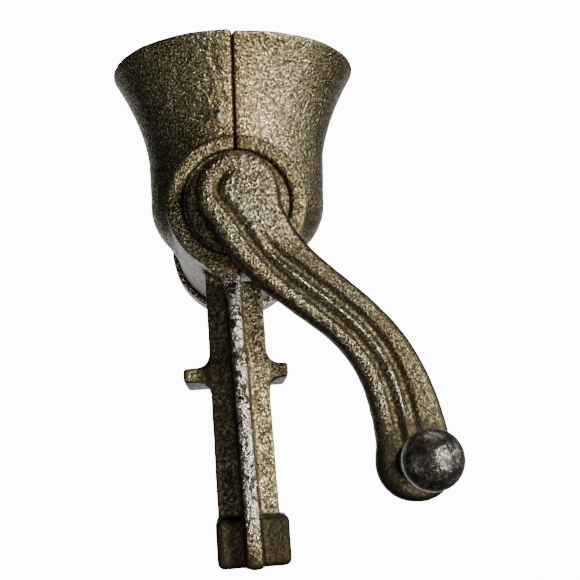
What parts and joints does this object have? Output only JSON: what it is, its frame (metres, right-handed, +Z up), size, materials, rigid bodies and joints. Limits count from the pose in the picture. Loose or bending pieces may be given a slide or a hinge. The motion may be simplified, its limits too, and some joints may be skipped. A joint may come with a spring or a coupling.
{
  "type": "nutcracker",
  "caption": "Table-clamp rotary nutcracker with a split bell hopper, a barrel with a hand-cranked fluted cone, a curved crank with a ball handle and a ribbed clamp leg.",
  "frame": {"origin": "on the underside of the upper clamp jaw, in the upright plane of the crank shaft and straight below the shaft's point under the hopper", "axes": "+X to the right as seen from the crank side, +Y along the shaft from the crank towards the table, +Z up out of the table top"},
  "size_m": [0.0936, 0.1328, 0.1623],
  "materials": {
    "body_iron": "aged bare casting, grainy, rubbed bright on the edges",
    "crank_iron": "aged bare casting, grainy, rubbed bright on the ridges",
    "ring_iron": "dark aged casting",
    "rotor_iron": "dark casting with worn crests",
    "shaft_steel": "turned, dulled",
    "handle_steel": "smooth, dark and mottled",
    "fastener_steel": "aged steel"
  },
  "bodies": {
    "body": {"body_left": "body_iron", "body_right": "body_iron", "seam_dowels": "fastener_steel", "ear_bolt": "fastener_steel", "ear_wing_nut": "fastener_steel", "outlet_ring": "ring_iron", "outlet_spider": "ring_iron", "spider_pin": "fastener_steel"},
    "crank": {"crank_arm": "crank_iron", "crank_pin": "fastener_steel", "rotor_shaft": "shaft_steel", "cracking_rotor": "rotor_iron", "rotor_pin": "fastener_steel", "end_washer": "fastener_steel", "end_nut": "fastener_steel", "thrust_washer": "shaft_steel", "handle_washer": "fastener_steel"},
    "handle": {"ball_handle": "handle_steel"}
  },
  "joints": [
    {"name": "crank_turn", "type": "hinge", "parent": "body", "child": "crank", "pos_m": [0, 0, 0.0515], "axis": [0, 1, 0], "continuous": true},
    {"name": "handle_spin", "type": "hinge", "parent": "crank", "child": "handle", "pos_m": [0.0442, 0, -0.028], "axis": [0, 1, 0], "continuous": true}
  ]
}
